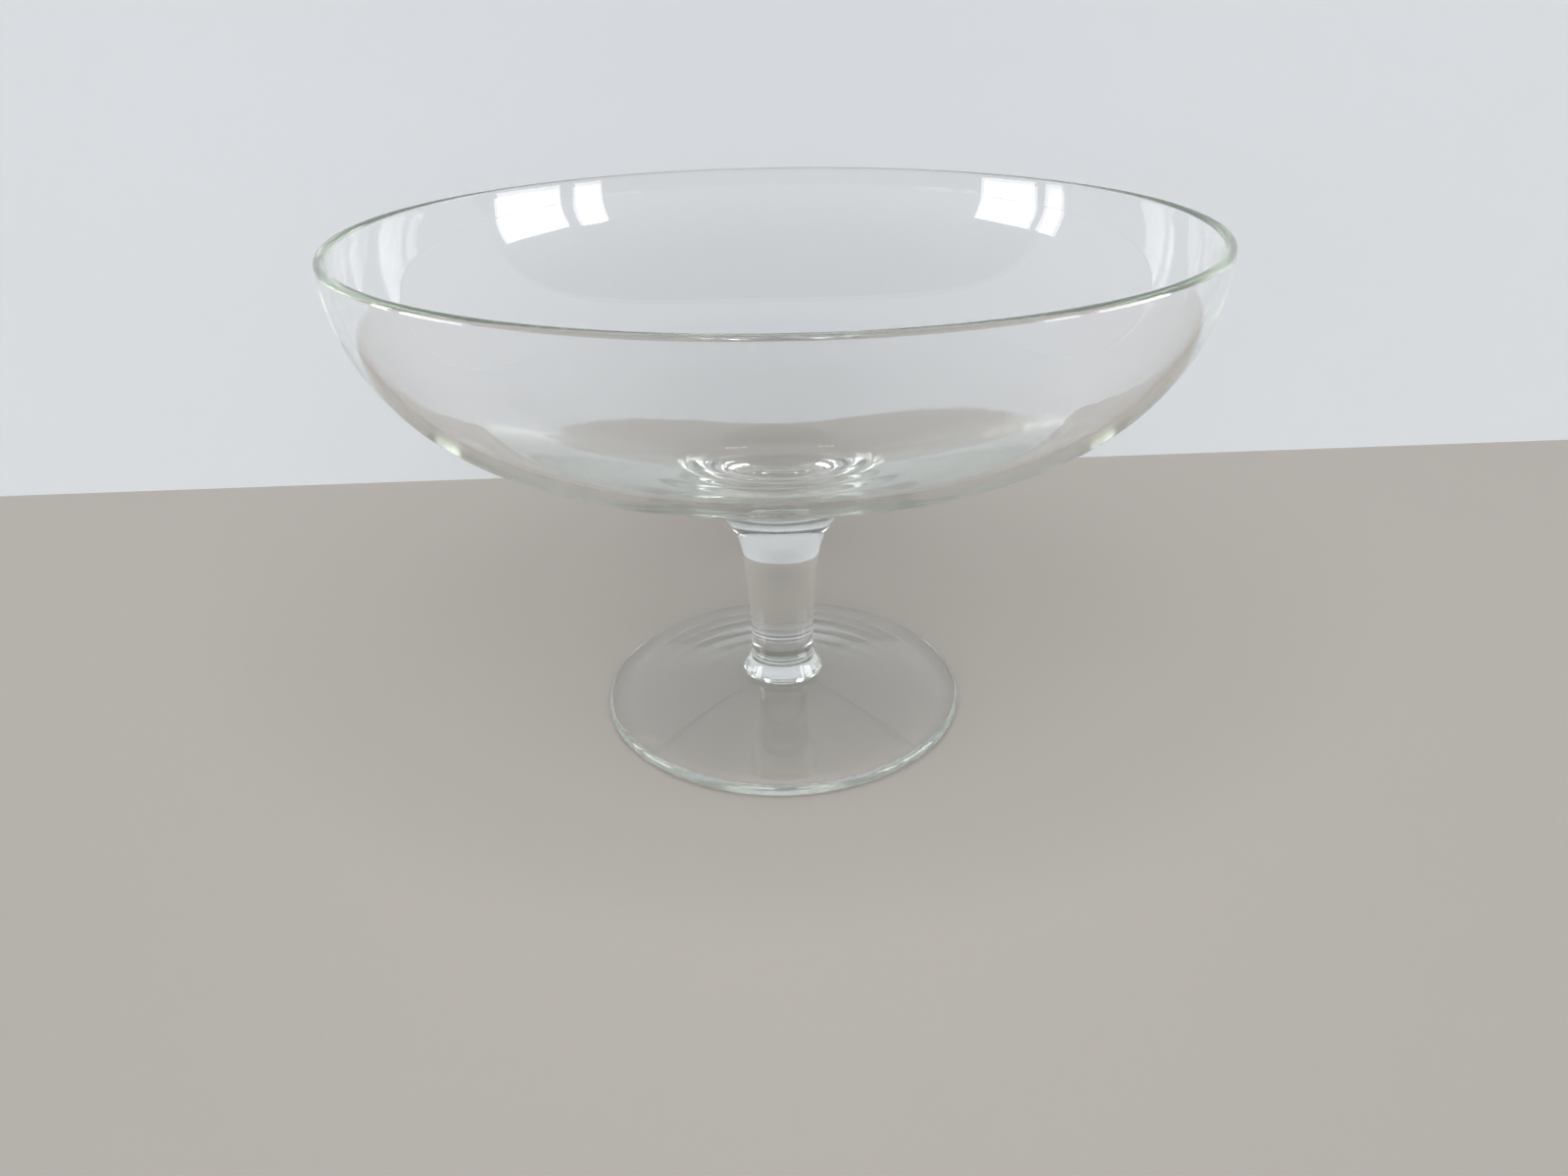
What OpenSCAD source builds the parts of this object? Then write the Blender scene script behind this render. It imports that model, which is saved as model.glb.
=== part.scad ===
// Footed trifle bowl in clear glass: a wide shallow bowl, a solid flared stem and a round foot,
// three gathers of glass that are fused to each other at two flat seams.
// Millimetres, +Z up. The origin is on the axis, on the surface that the foot rests on.

/* [Bowl] */
// Diameter over the rim
rim_d = 232; // [190:1:280]
// Height of the bowl, from its seam with the stem to the top of the rim
bowl_h = 81.5; // [72:0.5:120]
// Wall at the rim, where the edge is melted to a full round
rim_wall = 2.8; // [2:0.1:5]
// Wall of the sloping floor where the flare of the stem ends, square to the underside
floor_wall = 7; // [5:0.1:9]
// Wall where the sloping floor runs into the curved side, square to the underside
side_wall = 3; // [2.5:0.1:5]
// Upright wall between the round edge and the curved side
upright_h = 1; // [0.5:0.5:12]
// Slope of the straight underside, from level
underside_angle = 23.5; // [16:0.5:28]
// Radius of the dip in the middle of the floor, inside
dip_r = 60; // [45:1:120]

/* [Stem] */
// Length of the stem between its two seams
stem_h = 55.5; // [42:0.5:90]
// Diameter at the narrowest place, just above the base flare
neck_d = 19; // [14:0.5:28]
// Taper of each side, from the vertical
taper_angle = 3.4; // [1:0.1:6]
// Radius of the hollow curve that spreads the stem into the bowl
flare_r = 34; // [20:0.5:45]
// Turn of that curve at the seam, from the vertical
seam_angle = 40; // [30:1:50]
// Radius of the hollow curve that spreads the stem onto the foot
base_r = 14; // [8:0.5:20]
// Turn of that curve at the foot, from the vertical
base_angle = 38; // [25:1:50]

/* [Foot] */
// Diameter of the foot
foot_d = 112; // [80:1:150]
// Height of the foot at its seam with the stem
foot_h = 10.5; // [9.5:0.5:16]
// Thickness of the foot's full round edge
edge_wall = 4; // [2.5:0.1:6]
// Width of the flat ring that the foot rests on
ring_w = 4; // [2:0.5:10]
// Rise of the hollow under the foot, at the axis
hollow_h = 8; // [2:0.5:9]
// Radius of the hollow's domed middle, inside its straight cone
dome_r = 110; // [40:5:160]

/* [Hidden] */

arc_steps = 32;
$fn = 180;
// Largest part of a plain arched hollow's radius that the dome may have, so that some cone is left
dome_share = 0.9;
glass = [0.83, 0.89, 0.86, 0.45];

// Heights of the two seams and of the rim
foot_seam_z = foot_h;
bowl_seam_z = foot_seam_z + stem_h;
rim_z = bowl_seam_z + bowl_h;

// Stem: base flare, straight taper and top flare run into each other without a corner
neck_r = neck_d / 2;
neck_z = foot_seam_z + base_r * (sin(base_angle) + sin(taper_angle));
taper_top_z = bowl_seam_z - flare_r * (sin(seam_angle) - sin(taper_angle));
taper_top_r = neck_r + (taper_top_z - neck_z) * tan(taper_angle);
base_centre = [neck_r + base_r * cos(taper_angle), neck_z - base_r * sin(taper_angle)];
flare_centre = [taper_top_r + flare_r * cos(taper_angle), taper_top_z - flare_r * sin(taper_angle)];
foot_seam_r = base_centre[0] - base_r * cos(base_angle);

// Bowl: the flare goes on above the seam until it lies along the sloping underside
square_up = [-sin(underside_angle), cos(underside_angle)];
slope_start = flare_centre + flare_r * square_up;
rim_r = rim_d / 2;
side_z = rim_z - rim_wall / 2 - upright_h;
inner_r = rim_r - rim_wall;

// Radius of the side arc that touches an upright wall at wall_r and a line that leaves point at an angle
function side_radius(wall_r, point, angle) =
    ((side_z - point[1]) * cos(angle) - (wall_r - point[0]) * sin(angle)) / (1 - sin(angle));

outer_side_r = side_radius(rim_r, slope_start, underside_angle);
outer_side_centre = [rim_r - outer_side_r, side_z];
slope_end = outer_side_centre - outer_side_r * square_up;

// Inside, the floor is less steep than the underside, because the glass thins towards the side
floor_start = slope_start + floor_wall * square_up;
floor_run = slope_end + side_wall * square_up - floor_start;
floor_angle = atan2(floor_run[1], floor_run[0]);
inner_side_r = side_radius(inner_r, floor_start, floor_angle);
inner_side_centre = [inner_r - inner_side_r, side_z];
rim_centre = [rim_r - rim_wall / 2, rim_z - rim_wall / 2];
dip_rise = (dip_r - floor_start[0] * sin(floor_angle)) / cos(floor_angle);
dip_centre = [0, floor_start[1] + dip_rise];

// Foot: a straight top from the seam to the round edge, and a domed hollow cone inside the flat ring
edge_r = edge_wall / 2;
edge_centre = [foot_d / 2 - edge_r, edge_r];
seam_to_edge = edge_centre - [foot_seam_r, foot_seam_z];
top_angle = atan2(seam_to_edge[1], seam_to_edge[0]) + asin(edge_r / norm(seam_to_edge));
hollow_edge_r = edge_centre[0] - ring_w;
arch_r = (hollow_edge_r * hollow_edge_r + hollow_h * hollow_h) / (2 * hollow_h);
hollow_r = min(dome_r, dome_share * arch_r);
hollow_centre = [0, hollow_h - hollow_r];
hollow_edge = [hollow_edge_r, 0];
hollow_angle = asin(hollow_r / norm(hollow_edge - hollow_centre)) - atan2(-hollow_centre[1], hollow_edge_r);

// Points of an arc, ends included
function arc(centre, radius, from, to) =
    [for (i = [0 : arc_steps]) let (a = from + (to - from) * i / arc_steps)
        centre + radius * [cos(a), sin(a)]];

// Outer skin from the seam to the rim, the round edge, then the inner skin down to the axis
module bowl() {
    color(glass)
        rotate_extrude()
            polygon(concat(
                [[0, bowl_seam_z]],
                arc(flare_centre, flare_r, 180 - seam_angle, 90 + underside_angle),
                arc(outer_side_centre, outer_side_r, underside_angle - 90, 0),
                arc(rim_centre, rim_wall / 2, 0, 180),
                arc(inner_side_centre, inner_side_r, 0, floor_angle - 90),
                arc(dip_centre, dip_r, floor_angle - 90, -90)));
}

// Solid stem, narrowest just above the foot
module stem() {
    color(glass)
        rotate_extrude()
            polygon(concat(
                [[0, foot_seam_z]],
                arc(base_centre, base_r, 180 + base_angle, 180 - taper_angle),
                arc(flare_centre, flare_r, 180 - taper_angle, 180 - seam_angle),
                [[0, bowl_seam_z]]));
}

// Low cone with a round edge and a wall of even thickness, hollow underneath so that it rests on a flat ring
module foot() {
    color(glass)
        rotate_extrude()
            polygon(concat(
                arc(hollow_centre, hollow_r, 90, 90 - hollow_angle),
                [hollow_edge],
                arc(edge_centre, edge_r, -90, 90 + top_angle),
                [[foot_seam_r, foot_seam_z], [0, foot_seam_z]]));
}

bowl();
stem();
foot();
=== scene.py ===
import math

import bpy
from mathutils import Matrix, Vector


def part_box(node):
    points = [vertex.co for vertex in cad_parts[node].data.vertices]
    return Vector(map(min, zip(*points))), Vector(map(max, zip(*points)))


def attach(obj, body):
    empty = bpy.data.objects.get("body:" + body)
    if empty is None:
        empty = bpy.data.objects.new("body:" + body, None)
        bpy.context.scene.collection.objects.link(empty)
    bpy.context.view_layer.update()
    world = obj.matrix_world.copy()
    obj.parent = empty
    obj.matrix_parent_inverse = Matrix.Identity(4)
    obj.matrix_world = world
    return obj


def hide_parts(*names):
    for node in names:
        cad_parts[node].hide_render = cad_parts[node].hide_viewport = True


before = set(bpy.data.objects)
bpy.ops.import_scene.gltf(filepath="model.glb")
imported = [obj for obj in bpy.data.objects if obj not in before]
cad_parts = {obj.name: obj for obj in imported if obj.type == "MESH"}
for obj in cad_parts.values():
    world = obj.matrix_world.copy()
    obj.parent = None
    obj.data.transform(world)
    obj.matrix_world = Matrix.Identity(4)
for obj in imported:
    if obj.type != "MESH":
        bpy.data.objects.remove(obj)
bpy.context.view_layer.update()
scene = bpy.context.scene
scene.view_settings.view_transform = "Standard"
mm = 0.001  # sizes are written in millimetres
print("frame loaded:", ", ".join(sorted(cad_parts)))

glassBounces = 160  # light runs a long way along the inside of a glass wall before it leaves
scene.cycles.max_bounces = glassBounces
scene.cycles.transmission_bounces = glassBounces
scene.cycles.glossy_bounces = glassBounces


def linear(hexColour):  # sRGB hex to linear RGBA, by the sRGB curve
    channels = [int(hexColour[i:i + 2], 16) / 255 for i in (1, 3, 5)]
    return [c / 12.92 if c <= 0.04045 else ((c + 0.055) / 1.055) ** 2.4 for c in channels] + [1.0]


def addNode(tree, kind, inputs=None, **settings):  # a node with its settings, values and links
    node = tree.nodes.new(kind)
    for name, value in settings.items():
        setattr(node, name, value)
    for socket, value in (inputs or {}).items():
        if isinstance(value, bpy.types.NodeSocket):
            tree.links.new(value, node.inputs[socket])
        else:
            node.inputs[socket].default_value = value
    return node


# Camera, matched to the photo's outlines of the rim and the foot, with angles in degrees
photoView = {
    "focalPixels": 1150,
    "framePixels": 1600,
    "sensorWidth": 36,
    "nearest": 10.0,
    "distance": 311.3,
    "height": 198.67,
    "pitch": 27.31,
    "yaw": 0.14,
    "roll": -0.97,
}


def makeCamera(view):
    data = bpy.data.cameras.new("photoCamera")
    data.sensor_width = view["sensorWidth"]
    data.lens = view["sensorWidth"] * view["focalPixels"] / view["framePixels"]
    data.clip_start = view["nearest"] * mm
    camera = bpy.data.objects.new("photoCamera", data)
    scene.collection.objects.link(camera)
    pitch, yaw, roll = (math.radians(view[k]) for k in ("pitch", "yaw", "roll"))
    turn = Matrix.Rotation(-yaw, 4, "Z") @ Matrix.Rotation(math.pi / 2 - pitch, 4, "X")
    place = Matrix.Translation((0, -view["distance"] * mm, view["height"] * mm))
    camera.matrix_world = place @ turn @ Matrix.Rotation(roll, 4, "Z")
    scene.camera = camera


makeCamera(photoView)
print("camera set")


# Profiles are lists of (radius, height). The frame gives the outer radii and heights,
# and each piece's own sizes give the rest
rimRadius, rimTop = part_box("bowl")[1].x / mm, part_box("bowl")[1].z / mm
bowlSeam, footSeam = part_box("bowl")[0].z / mm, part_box("stem")[0].z / mm
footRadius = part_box("foot")[1].x / mm
broadTurn, edgeTurn = 1.0, 6.0  # degrees from point to point on broad curves and on small round edges
lineGap = 2.5  # from point to point on straight stretches
seamGap = 0.02  # hairline that keeps the faces of a fused seam in order for the light


def arc(centre, radius, start, end, turn=broadTurn):  # ends included, angles in degrees
    steps = math.ceil(abs(end - start) / turn)
    angles = [math.radians(start + (end - start) * i / steps) for i in range(steps + 1)]
    return [(centre[0] + radius * math.cos(a), centre[1] + radius * math.sin(a)) for a in angles]


def line(start, end):  # ends left out
    steps = math.ceil(math.dist(start, end) / lineGap)
    shares = [i / steps for i in range(1, steps)]
    return [tuple(a + (b - a) * s for a, b in zip(start, end)) for s in shares]


def sine(angle):
    return math.sin(math.radians(angle))


def cosine(angle):
    return math.cos(math.radians(angle))


# Stem: base flare, straight taper and top flare
stemSizes = {
    "neckRadius": 9.5,
    "taperAngle": 3.4,
    "flareRadius": 34.0,
    "seamAngle": 40.0,
    "baseRadius": 14.0,
    "baseAngle": 38.0,
    "sides": 192,
    "waveHeight": 0.02,
    "waveLength": 12.0,
    "seed": 5,
}
taper, seamTurn, baseTurn = (stemSizes[k + "Angle"] for k in ("taper", "seam", "base"))
neckRadius, flareRadius, baseRadius = (stemSizes[k + "Radius"] for k in ("neck", "flare", "base"))
neckHeight = footSeam + baseRadius * (sine(baseTurn) + sine(taper))
taperTop = bowlSeam - flareRadius * (sine(seamTurn) - sine(taper))
taperTopRadius = neckRadius + (taperTop - neckHeight) * math.tan(math.radians(taper))
baseCentre = (neckRadius + baseRadius * cosine(taper), neckHeight - baseRadius * sine(taper))
flareCentre = (taperTopRadius + flareRadius * cosine(taper), taperTop - flareRadius * sine(taper))
footSeamRadius = baseCentre[0] - baseRadius * cosine(baseTurn)
bowlSeamRadius = flareCentre[0] - flareRadius * cosine(seamTurn)


def stemProfile():
    low, high = footSeam + seamGap, bowlSeam - seamGap
    base = arc(baseCentre, baseRadius, 180 + baseTurn, 180 - taper)
    flare = arc(flareCentre, flareRadius, 180 - taper, 180 - seamTurn)
    base[0], flare[-1] = (footSeamRadius, low), (bowlSeamRadius, high)
    lowDisc = [(0, low)] + line((0, low), base[0])
    highDisc = line(flare[-1], (0, high)) + [(0, high)]
    return lowDisc + base + line(base[-1], flare[0]) + flare + highDisc


# Bowl: outer skin from the seam to the rim, the round edge, then the inner skin down to the axis
bowlSizes = {
    "rimWall": 2.8,
    "floorWall": 7.0,
    "sideWall": 3.0,
    "uprightHeight": 1.0,
    "undersideAngle": 23.5,
    "dipRadius": 60.0,
    "sides": 256,
    "waveHeight": 0.03,
    "waveLength": 25.0,
    "seed": 3,
}


def bowlProfile(size):
    slope, rimRound = size["undersideAngle"], size["rimWall"] / 2
    sideHeight = rimTop - rimRound - size["uprightHeight"]
    innerRadius = rimRadius - size["rimWall"]

    def sideRadius(wallRadius, point, angle):  # arc between the upright wall and the line from point
        rise = (sideHeight - point[1]) * cosine(angle) - (wallRadius - point[0]) * sine(angle)
        return rise / (1 - sine(angle))

    def squareUp(point, wall):  # point on the other skin, square to the underside
        return point[0] - wall * sine(slope), point[1] + wall * cosine(slope)

    flare = arc(flareCentre, flareRadius, 180 - seamTurn, 90 + slope)
    outer = sideRadius(rimRadius, flare[-1], slope)
    outerSide = arc((rimRadius - outer, sideHeight), outer, slope - 90, 0)
    floorStart = squareUp(flare[-1], size["floorWall"])
    floorEnd = squareUp(outerSide[0], size["sideWall"])
    tilt = math.degrees(math.atan2(floorEnd[1] - floorStart[1], floorEnd[0] - floorStart[0]))
    inner = sideRadius(innerRadius, floorStart, tilt)
    innerSide = arc((innerRadius - inner, sideHeight), inner, 0, tilt - 90)
    dipHeight = floorStart[1] + (size["dipRadius"] - floorStart[0] * sine(tilt)) / cosine(tilt)
    dip = arc((0, dipHeight), size["dipRadius"], tilt - 90, -90)
    rim = arc((rimRadius - rimRound, rimTop - rimRound), rimRound, 0, 180, edgeTurn)
    disc = [(0, bowlSeam)] + line((0, bowlSeam), flare[0])
    floor = line(innerSide[-1], dip[0]) + dip
    outerSkin = flare + line(flare[-1], outerSide[0]) + outerSide
    return disc + outerSkin + rim + innerSide + floor, floor


# Foot: domed hollow cone, flat ring, round edge, straight top and the seam
footSizes = {
    "edgeWall": 4.0,
    "ringWidth": 4.0,
    "hollowHeight": 8.0,
    "domeRadius": 110.0,
    "sides": 256,
    "waveHeight": 0.03,
    "waveLength": 15.0,
    "seed": 8,
}


def footProfile(size):
    edge, dome = size["edgeWall"] / 2, size["domeRadius"]
    edgeCentre = (footRadius - edge, edge)
    across, down = edgeCentre[0] - footSeamRadius, edgeCentre[1] - footSeam
    topAngle = math.degrees(math.atan2(down, across) + math.asin(edge / math.hypot(across, down)))
    hollowEdge = (edgeCentre[0] - size["ringWidth"], 0)
    domeCentre = (0, size["hollowHeight"] - dome)
    toEdge = math.dist(hollowEdge, domeCentre)
    coneAngle = math.asin(dome / toEdge) - math.atan2(-domeCentre[1], hollowEdge[0])
    hollow = arc(domeCentre, dome, 90, 90 - math.degrees(coneAngle))
    roundEdge = arc(edgeCentre, edge, -90, 90 + topAngle, edgeTurn)
    ring = [hollowEdge] + line(hollowEdge, roundEdge[0]) + roundEdge[:1]
    seam = (footSeamRadius, footSeam)
    top = line(roundEdge[-1], seam) + [seam] + line(seam, (0, footSeam)) + [(0, footSeam)]
    return hollow + line(hollow[-1], hollowEdge) + ring + roundEdge[1:] + top, ring


# Geometry Nodes: turns a profile about the axis, with the slow waviness of glass shaped while hot
turnInputs = {
    "Columns": "NodeSocketInt",
    "Weld": "NodeSocketFloat",
    "Wave height": "NodeSocketFloat",
    "Wave length": "NodeSocketFloat",
    "Seed": "NodeSocketInt",
    "Crisp angle": "NodeSocketFloat",
    "Glass": "NodeSocketMaterial",
}
weld = 0.004  # points closer than this become one, at the poles and where the turn closes
crispAngle = 25.0  # edges that bend more than this stay crisp
waveDetail = 1.0
noiseMiddle = 0.5  # mean of a noise texture


def turningTree():
    tree = bpy.data.node_groups.new("turnedGlass", "GeometryNodeTree")
    tree.interface.new_socket("Profile", in_out="INPUT", socket_type="NodeSocketGeometry")
    for name, kind in turnInputs.items():
        tree.interface.new_socket(name, in_out="INPUT", socket_type=kind)
    tree.interface.new_socket("Piece", in_out="OUTPUT", socket_type="NodeSocketGeometry")
    given = addNode(tree, "NodeGroupInput").outputs

    # A grid with a row for each point of the profile, wound round the axis
    count = addNode(tree, "GeometryNodeAttributeDomainSize", {0: given["Profile"]}).outputs
    grid = addNode(tree, "GeometryNodeMeshGrid",
                   {"Vertices X": given["Columns"], "Vertices Y": count["Point Count"]})
    across = addNode(tree, "ShaderNodeSeparateXYZ", {0: grid.outputs["UV Map"]}).outputs
    turn = addNode(tree, "ShaderNodeMath", {0: across["X"], 1: math.tau}, operation="MULTIPLY")
    rowShare = addNode(tree, "ShaderNodeMath", {0: across["Y"], 1: count["Edge Count"]},
                       operation="MULTIPLY")
    whole = addNode(tree, "FunctionNodeFloatToInt", {0: rowShare.outputs[0]}, rounding_mode="ROUND")
    row = whole.outputs[0]
    place = addNode(tree, "GeometryNodeInputPosition").outputs[0]
    point = addNode(tree, "GeometryNodeSampleIndex",
                    {"Geometry": given["Profile"], "Value": place, "Index": row},
                    data_type="FLOAT_VECTOR")
    spun = addNode(tree, "ShaderNodeVectorRotate",
                   {"Vector": point.outputs[0], "Angle": turn.outputs[0]}, rotation_type="Z_AXIS")
    piece = addNode(tree, "GeometryNodeSetPosition",
                    {"Geometry": grid.outputs["Mesh"], "Position": spun.outputs[0]})
    for name in ("wear", "freedom"):
        carried = addNode(tree, "GeometryNodeInputNamedAttribute", {"Name": name},
                          data_type="FLOAT")
        value = addNode(tree, "GeometryNodeSampleIndex",
                        {"Geometry": given["Profile"], "Value": carried.outputs[0], "Index": row})
        piece = addNode(tree, "GeometryNodeStoreNamedAttribute",
                        {"Geometry": piece.outputs[0], "Name": name, "Value": value.outputs[0]})
    piece = addNode(tree, "GeometryNodeMergeByDistance",
                    {"Geometry": piece.outputs[0], "Distance": given["Weld"]})

    # Waves along the normal, none on the seams
    stored = addNode(tree, "GeometryNodeInputNamedAttribute", {"Name": "freedom"}, data_type="FLOAT")
    freedom = stored.outputs[0]
    fineness = addNode(tree, "ShaderNodeMath", {0: 1.0, 1: given["Wave length"]}, operation="DIVIDE")
    noise = addNode(tree, "ShaderNodeTexNoise",
                    {"Vector": place, "W": given["Seed"], "Detail": waveDetail,
                     "Scale": fineness.outputs[0]}, noise_dimensions="4D")
    swell = addNode(tree, "ShaderNodeMath", {0: noise.outputs[0], 1: noiseMiddle},
                    operation="SUBTRACT")
    held = addNode(tree, "ShaderNodeMath", {0: swell.outputs[0], 1: freedom}, operation="MULTIPLY")
    rise = addNode(tree, "ShaderNodeMath", {0: held.outputs[0], 1: given["Wave height"]},
                   operation="MULTIPLY")
    normal = addNode(tree, "GeometryNodeInputNormal").outputs[0]
    push = addNode(tree, "ShaderNodeVectorMath", {0: normal, "Scale": rise.outputs[0]},
                   operation="SCALE")
    piece = addNode(tree, "GeometryNodeSetPosition",
                    {"Geometry": piece.outputs[0], "Offset": push.outputs[0]})

    # Faces of a fused seam, and corners that stay crisp
    fused = addNode(tree, "FunctionNodeCompare", {"A": freedom}, operation="EQUAL")
    piece = addNode(tree, "GeometryNodeStoreNamedAttribute",
                    {"Geometry": piece.outputs[0], "Name": "fusedSeam", "Value": fused.outputs[0]},
                    data_type="FLOAT", domain="FACE")
    piece = addNode(tree, "GeometryNodeSetShadeSmooth", {"Geometry": piece.outputs[0]}, domain="FACE")
    bend = addNode(tree, "GeometryNodeInputMeshEdgeAngle").outputs["Unsigned Angle"]
    sharp = addNode(tree, "ShaderNodeMath", {0: bend, 1: given["Crisp angle"]},
                    operation="GREATER_THAN")
    piece = addNode(tree, "GeometryNodeSetShadeSmooth",
                    {"Geometry": piece.outputs[0], "Selection": sharp.outputs[0],
                     "Shade Smooth": False}, domain="EDGE")
    piece = addNode(tree, "GeometryNodeRealizeInstances", {"Geometry": piece.outputs[0]})
    piece = addNode(tree, "GeometryNodeSetMaterial",
                    {"Geometry": piece.outputs[0], "Material": given["Glass"]})
    addNode(tree, "NodeGroupOutput", {0: piece.outputs[0]})
    return tree


def turnPiece(name, node, tree, glass, size, profile, worn, seams):
    mesh = bpy.data.meshes.new(name)
    mesh.from_pydata([(r * mm, 0, z * mm) for r, z in profile],
                     [(i, i + 1) for i in range(len(profile) - 1)], [])
    toSeam = [min(abs(z - seam) for seam in seams) for r, z in profile]
    freedom = [min(1, gap / size["waveLength"]) for gap in toSeam]  # waves fade out at a seam
    wear = [float(point in worn) for point in profile]
    for label, values in (("freedom", freedom), ("wear", wear)):
        mesh.attributes.new(label, "FLOAT", "POINT").data.foreach_set("value", values)
    piece = bpy.data.objects.new(name, mesh)
    scene.collection.objects.link(piece)
    modifier = piece.modifiers.new("turnedGlass", "NODES")
    modifier.node_group = tree
    given = {
        "Columns": size["sides"] + 1,
        "Weld": weld * mm,
        "Wave height": size["waveHeight"] * mm,
        "Wave length": size["waveLength"] * mm,
        "Seed": size["seed"],
        "Crisp angle": math.radians(crispAngle),
        "Glass": glass,
    }
    for socket in tree.interface.items_tree:
        if socket.name in given:
            modifier[socket.identifier] = given[socket.name]
    shaped = piece.evaluated_get(bpy.context.evaluated_depsgraph_get())
    solid = bpy.data.meshes.new_from_object(shaped)
    piece.modifiers.remove(modifier)
    piece.data = solid
    solid.name = name
    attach(piece, "root")
    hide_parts(node)
    print(name, "turned:", len(solid.polygons), "faces")


# Soda-lime glass: clear, with a grey-green cast that only thick places and edges show
glassBody = {
    "skin": "#ffffff",  # the skin adds no colour of its own
    "tint": "#cbd5c8",
    "density": 6.0,  # per metre of glass
    "ior": 1.52,
    "seamIor": 1.0,  # a fused seam doesn't bend light
    "lampThrough": "#ffffff",  # lamp light that a face square to the light lets on to the floor
    "lampEdge": "#59615b",  # and one that only grazes the light, which draws the shadow's lines
    "edgeFrom": 0.06,  # share of the light mirrored at which grazing begins
}
patches = {"From Min": 0.5, "From Max": 0.8}  # part of a noise that shows as patches on a clean skin
acrossAxis = (1, 1, 0)  # leaves out the height


def glassMaterial(name, finish):
    material = bpy.data.materials.new(name)
    material.use_nodes = True
    tree = material.node_tree
    tree.nodes.clear()
    roughness, normal = finish(tree)
    fused = addNode(tree, "ShaderNodeAttribute", attribute_name="fusedSeam").outputs["Fac"]
    bend = addNode(tree, "ShaderNodeMapRange",
                   {"Value": fused, "To Min": glassBody["ior"], "To Max": glassBody["seamIor"]})
    clear = addNode(tree, "ShaderNodeBsdfPrincipled",
                    {"Base Color": linear(glassBody["skin"]), "Roughness": roughness,
                     "Normal": normal, "IOR": bend.outputs[0], "Transmission Weight": 1.0})
    cast = addNode(tree, "ShaderNodeVolumeAbsorption",
                   {"Color": linear(glassBody["tint"]), "Density": glassBody["density"]})
    mirror = addNode(tree, "ShaderNodeFresnel", {"IOR": glassBody["ior"]})
    grazing = addNode(tree, "ShaderNodeMapRange",
                      {"Value": mirror.outputs[0], "From Min": glassBody["edgeFrom"]})
    shade = addNode(tree, "ShaderNodeMix",
                    {"Factor": grazing.outputs[0], "A": linear(glassBody["lampThrough"]),
                     "B": linear(glassBody["lampEdge"])}, data_type="RGBA")
    lampLight = addNode(tree, "ShaderNodeBsdfTransparent", {"Color": shade.outputs["Result"]})
    toLamp = addNode(tree, "ShaderNodeLightPath").outputs["Is Shadow Ray"]
    shown = addNode(tree, "ShaderNodeMixShader",
                    {0: toLamp, 1: clear.outputs[0], 2: lampLight.outputs[0]})
    addNode(tree, "ShaderNodeOutputMaterial",
            {"Surface": shown.outputs[0], "Volume": cast.outputs[0]})
    return material


# Bowl: skin melted smooth, with a slow ripple, wiped smudges and rings that spoons wore into the floor
firePolish = {
    "rippleLength": 9.0,
    "rippleHeight": 0.012,
    "rippleDetail": 1.0,
    "smudgeLength": 30.0,
    "smudgeDetail": 4.0,
    "smudgeTwist": 1.5,
    "smudgeRoughness": 0.045,
    "ringGap": 0.9,  # real scratches are finer than a pixel, so these are drawn coarser
    "ringDetail": 2.0,
    "ringRoughness": 0.09,
}


def firePolished(tree):
    place = addNode(tree, "ShaderNodeTexCoord").outputs["Object"]
    ripple = addNode(tree, "ShaderNodeTexNoise",
                     {"Vector": place, "Scale": 1 / (firePolish["rippleLength"] * mm),
                      "Detail": firePolish["rippleDetail"]})
    smudge = addNode(tree, "ShaderNodeTexNoise",
                     {"Vector": place, "Scale": 1 / (firePolish["smudgeLength"] * mm),
                      "Detail": firePolish["smudgeDetail"], "Distortion": firePolish["smudgeTwist"]})
    smear = addNode(tree, "ShaderNodeMapRange",
                    {"Value": smudge.outputs[0], "To Max": firePolish["smudgeRoughness"], **patches})
    flat = addNode(tree, "ShaderNodeVectorMath", {0: place, 1: acrossAxis}, operation="MULTIPLY")
    radius = addNode(tree, "ShaderNodeVectorMath", {0: flat.outputs[0]}, operation="LENGTH")
    rings = addNode(tree, "ShaderNodeTexNoise",
                    {"W": radius.outputs["Value"], "Scale": 1 / (firePolish["ringGap"] * mm),
                     "Detail": firePolish["ringDetail"]}, noise_dimensions="1D")
    wear = addNode(tree, "ShaderNodeAttribute", attribute_name="wear").outputs["Fac"]
    scuff = addNode(tree, "ShaderNodeMath", {0: rings.outputs[0], 1: wear}, operation="MULTIPLY")
    roughness = addNode(tree, "ShaderNodeMath",
                        {0: scuff.outputs[0], 1: firePolish["ringRoughness"], 2: smear.outputs[0]},
                        operation="MULTIPLY_ADD")
    bump = addNode(tree, "ShaderNodeBump",
                   {"Height": ripple.outputs[0], "Distance": firePolish["rippleHeight"] * mm})
    return roughness.outputs[0], bump.outputs[0]


# Stem: pulled while soft, so its skin has faint streaks along its length
drawing = {
    "streakWidth": 1.6,
    "streakLength": 45.0,
    "streakHeight": 0.006,
    "streakDetail": 2.0,
    "streakRoughness": 0.03,
}


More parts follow.
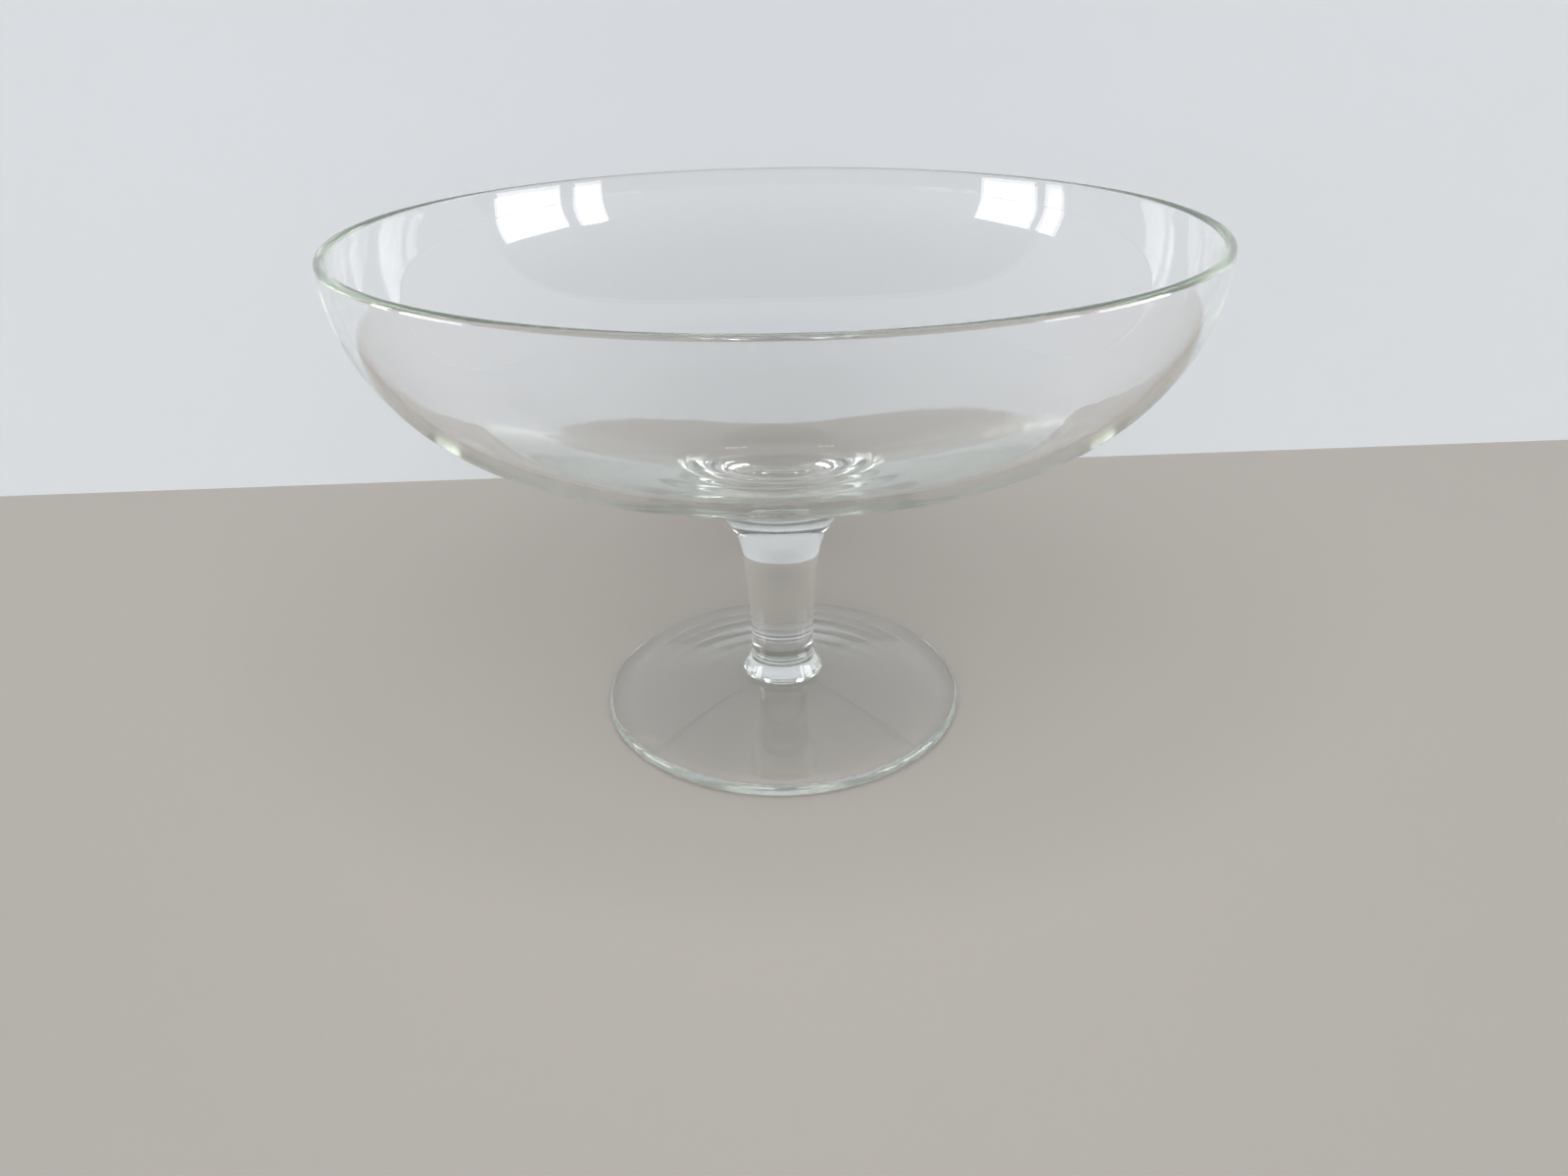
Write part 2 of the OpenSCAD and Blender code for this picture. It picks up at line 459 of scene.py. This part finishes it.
def drawn(tree):
    place = addNode(tree, "ShaderNodeTexCoord").outputs["Object"]
    width, length = drawing["streakWidth"] * mm, drawing["streakLength"] * mm
    stretched = addNode(tree, "ShaderNodeVectorMath",
                        {0: place, 1: (1 / width, 1 / width, 1 / length)}, operation="MULTIPLY")
    streaks = addNode(tree, "ShaderNodeTexNoise",
                      {"Vector": stretched.outputs[0], "Scale": 1.0, "Detail": drawing["streakDetail"]})
    roughness = addNode(tree, "ShaderNodeMapRange",
                        {"Value": streaks.outputs[0], "To Max": drawing["streakRoughness"], **patches})
    bump = addNode(tree, "ShaderNodeBump",
                   {"Height": streaks.outputs[0], "Distance": drawing["streakHeight"] * mm})
    return roughness.outputs[0], bump.outputs[0]


# Foot: pressed flat with a turning paddle, with faint marks from the stem to the edge,
# and scuffed on the ring that it rests on
paddling = {
    "marksAround": 7.0,
    "markLength": 60.0,
    "markHeight": 0.02,
    "markDetail": 3.0,
    "markRoughness": 0.04,
    "ringRoughness": 0.12,
}


def paddled(tree):
    place = addNode(tree, "ShaderNodeTexCoord").outputs["Object"]
    flat = addNode(tree, "ShaderNodeVectorMath", {0: place, 1: acrossAxis}, operation="MULTIPLY")
    heading = addNode(tree, "ShaderNodeVectorMath", {0: flat.outputs[0]}, operation="NORMALIZE")
    spread = addNode(tree, "ShaderNodeVectorMath",
                     {0: flat.outputs[0], "Scale": 1 / (paddling["markLength"] * mm)},
                     operation="SCALE")
    vector = addNode(tree, "ShaderNodeVectorMath",
                     {0: heading.outputs[0], 1: [paddling["marksAround"]] * 3, 2: spread.outputs[0]},
                     operation="MULTIPLY_ADD")
    marks = addNode(tree, "ShaderNodeTexNoise",
                    {"Vector": vector.outputs[0], "Scale": 1.0, "Detail": paddling["markDetail"]})
    faint = addNode(tree, "ShaderNodeMapRange",
                    {"Value": marks.outputs[0], "To Max": paddling["markRoughness"], **patches})
    wear = addNode(tree, "ShaderNodeAttribute", attribute_name="wear").outputs["Fac"]
    roughness = addNode(tree, "ShaderNodeMath",
                        {0: wear, 1: paddling["ringRoughness"], 2: faint.outputs[0]},
                        operation="MULTIPLY_ADD")
    bump = addNode(tree, "ShaderNodeBump",
                   {"Height": marks.outputs[0], "Distance": paddling["markHeight"] * mm})
    return roughness.outputs[0], bump.outputs[0]


turned = turningTree()
bowlPoints, bowlWorn = bowlProfile(bowlSizes)
footPoints, footWorn = footProfile(footSizes)
bowlFinish = glassMaterial("firePolishedGlass", firePolished)
stemFinish = glassMaterial("drawnGlass", drawn)
footFinish = glassMaterial("paddledGlass", paddled)
stemSeams = [footSeam + seamGap, bowlSeam - seamGap]
turnPiece("bowlGlass", "bowl", turned, bowlFinish, bowlSizes, bowlPoints, bowlWorn, [bowlSeam])
turnPiece("stemGlass", "stem", turned, stemFinish, stemSizes, stemProfile(), [], stemSeams)
turnPiece("footGlass", "foot", turned, footFinish, footSizes, footPoints, footWorn, [footSeam])


# Stage: pale floor, and a pale backdrop that is clear from behind, so the bowl shows from there too
stageSizes = {
    "reach": 20000.0,
    "below": 0.2,  # a hair under the foot, so that no face lies on another
    "backdropAt": 200.4,
    "backdropTurn": 2.87,
    "backdropWidth": 5000.0,
    "backdropHeight": 900.0,
}
floorColour, backdropColour = "#b9b3ac", "#e2e5e9"


def stageSheet(name, corners, colour):
    mesh = bpy.data.meshes.new(name)
    mesh.from_pydata([Vector(c) * mm for c in corners], [], [(0, 1, 2, 3)])
    sheet = bpy.data.objects.new(name, mesh)
    scene.collection.objects.link(sheet)
    material = bpy.data.materials.new(name)
    material.use_nodes = True
    tree = material.node_tree
    tree.nodes.clear()
    matt = addNode(tree, "ShaderNodeBsdfDiffuse", {"Color": linear(colour)})
    behind = addNode(tree, "ShaderNodeNewGeometry").outputs["Backfacing"]
    gone = addNode(tree, "ShaderNodeBsdfTransparent")
    shown = addNode(tree, "ShaderNodeMixShader",
                    {0: behind, 1: matt.outputs[0], 2: gone.outputs[0]})
    addNode(tree, "ShaderNodeOutputMaterial", {"Surface": shown.outputs[0]})
    mesh.materials.append(material)
    return sheet


reach, low = stageSizes["reach"], -stageSizes["below"]
top, half = stageSizes["backdropHeight"], stageSizes["backdropWidth"] / 2
skew = half * math.tan(math.radians(stageSizes["backdropTurn"]))
near, far = stageSizes["backdropAt"] - skew, stageSizes["backdropAt"] + skew
floorCorners = [(-reach, -reach, low), (reach, -reach, low), (reach, reach, low), (-reach, reach, low)]
stageSheet("paleFloor", floorCorners, floorColour)
backdropCorners = [(-half, near, low), (half, far, low), (half, far, top), (-half, near, top)]
backdrop = stageSheet("paleBackdrop", backdropCorners, backdropColour)
backdrop.visible_diffuse = backdrop.visible_shadow = False  # so the floor is evenly lit on both sides

# One broad overhead light, and window panes that only show in the glass, as reflections and sparkles
overhead = {"level": 2.5, "softness": 70.0, "tilt": 35.0}  # angles in degrees
panes = [
    {"name": "rightPane", "at": (840, -85, 211), "size": (360, 398), "glow": 6.0},
    {"name": "rightSidePane", "at": (744, -385, 217), "size": (138, 410), "glow": 6.0},
    {"name": "leftPane", "at": (-816, -145, 205), "size": (288, 386), "glow": 6.0},
    {"name": "leftSidePane", "at": (-834, 101, 205), "size": (96, 386), "glow": 5.0},
]
paneAim = Vector((0, 0, 120))


def makeOverhead(lamp):
    data = bpy.data.lights.new("overheadDiffuser", "SUN")
    data.energy, data.angle = lamp["level"], math.radians(lamp["softness"])
    data.cycles.use_multiple_importance_sampling = False  # so it lights the floor under the glass too
    light = bpy.data.objects.new("overheadDiffuser", data)
    scene.collection.objects.link(light)
    light.matrix_world = Matrix.Rotation(math.radians(lamp["tilt"]), 4, "X")
    light.visible_glossy = light.visible_transmission = False


def makePane(pane):
    data = bpy.data.lights.new(pane["name"], "AREA")
    data.shape = "RECTANGLE"
    data.size, data.size_y = (s * mm for s in pane["size"])
    data.energy = pane["glow"] * math.pi * data.size * data.size_y  # a glow of 1 is white
    light = bpy.data.objects.new(pane["name"], data)
    scene.collection.objects.link(light)
    turn = (paneAim - Vector(pane["at"])).to_track_quat("-Z", "Y").to_matrix().to_4x4()
    light.matrix_world = Matrix.Translation(Vector(pane["at"]) * mm) @ turn
    light.visible_camera = light.visible_diffuse = False


makeOverhead(overhead)
for pane in panes:
    makePane(pane)


# Studio round the stage: pale walls, and a darker ceiling that the edges of the glass pick up
studio = {
    "walls": "#d9dde1",
    "ceiling": "#7c8085",
    "wallTop": 0.1,  # heights on a globe round the stage, where 1 is straight up
    "ceilingFrom": 0.7,
}


def makeWorld(room):
    world = bpy.data.worlds.new("studio")
    world.use_nodes = True
    tree = world.node_tree
    tree.nodes.clear()
    place = addNode(tree, "ShaderNodeTexCoord").outputs["Generated"]
    height = addNode(tree, "ShaderNodeSeparateXYZ", {0: place}).outputs["Z"]
    share = addNode(tree, "ShaderNodeMapRange",
                    {"Value": height, "From Min": room["wallTop"], "From Max": room["ceilingFrom"]})
    colour = addNode(tree, "ShaderNodeMix",
                     {"Factor": share.outputs[0], "A": linear(room["walls"]),
                      "B": linear(room["ceiling"])}, data_type="RGBA")
    glow = addNode(tree, "ShaderNodeBackground", {"Color": colour.outputs["Result"]})
    addNode(tree, "ShaderNodeOutputWorld", {"Surface": glow.outputs[0]})
    scene.world = world


makeWorld(studio)
print("stage and light set")
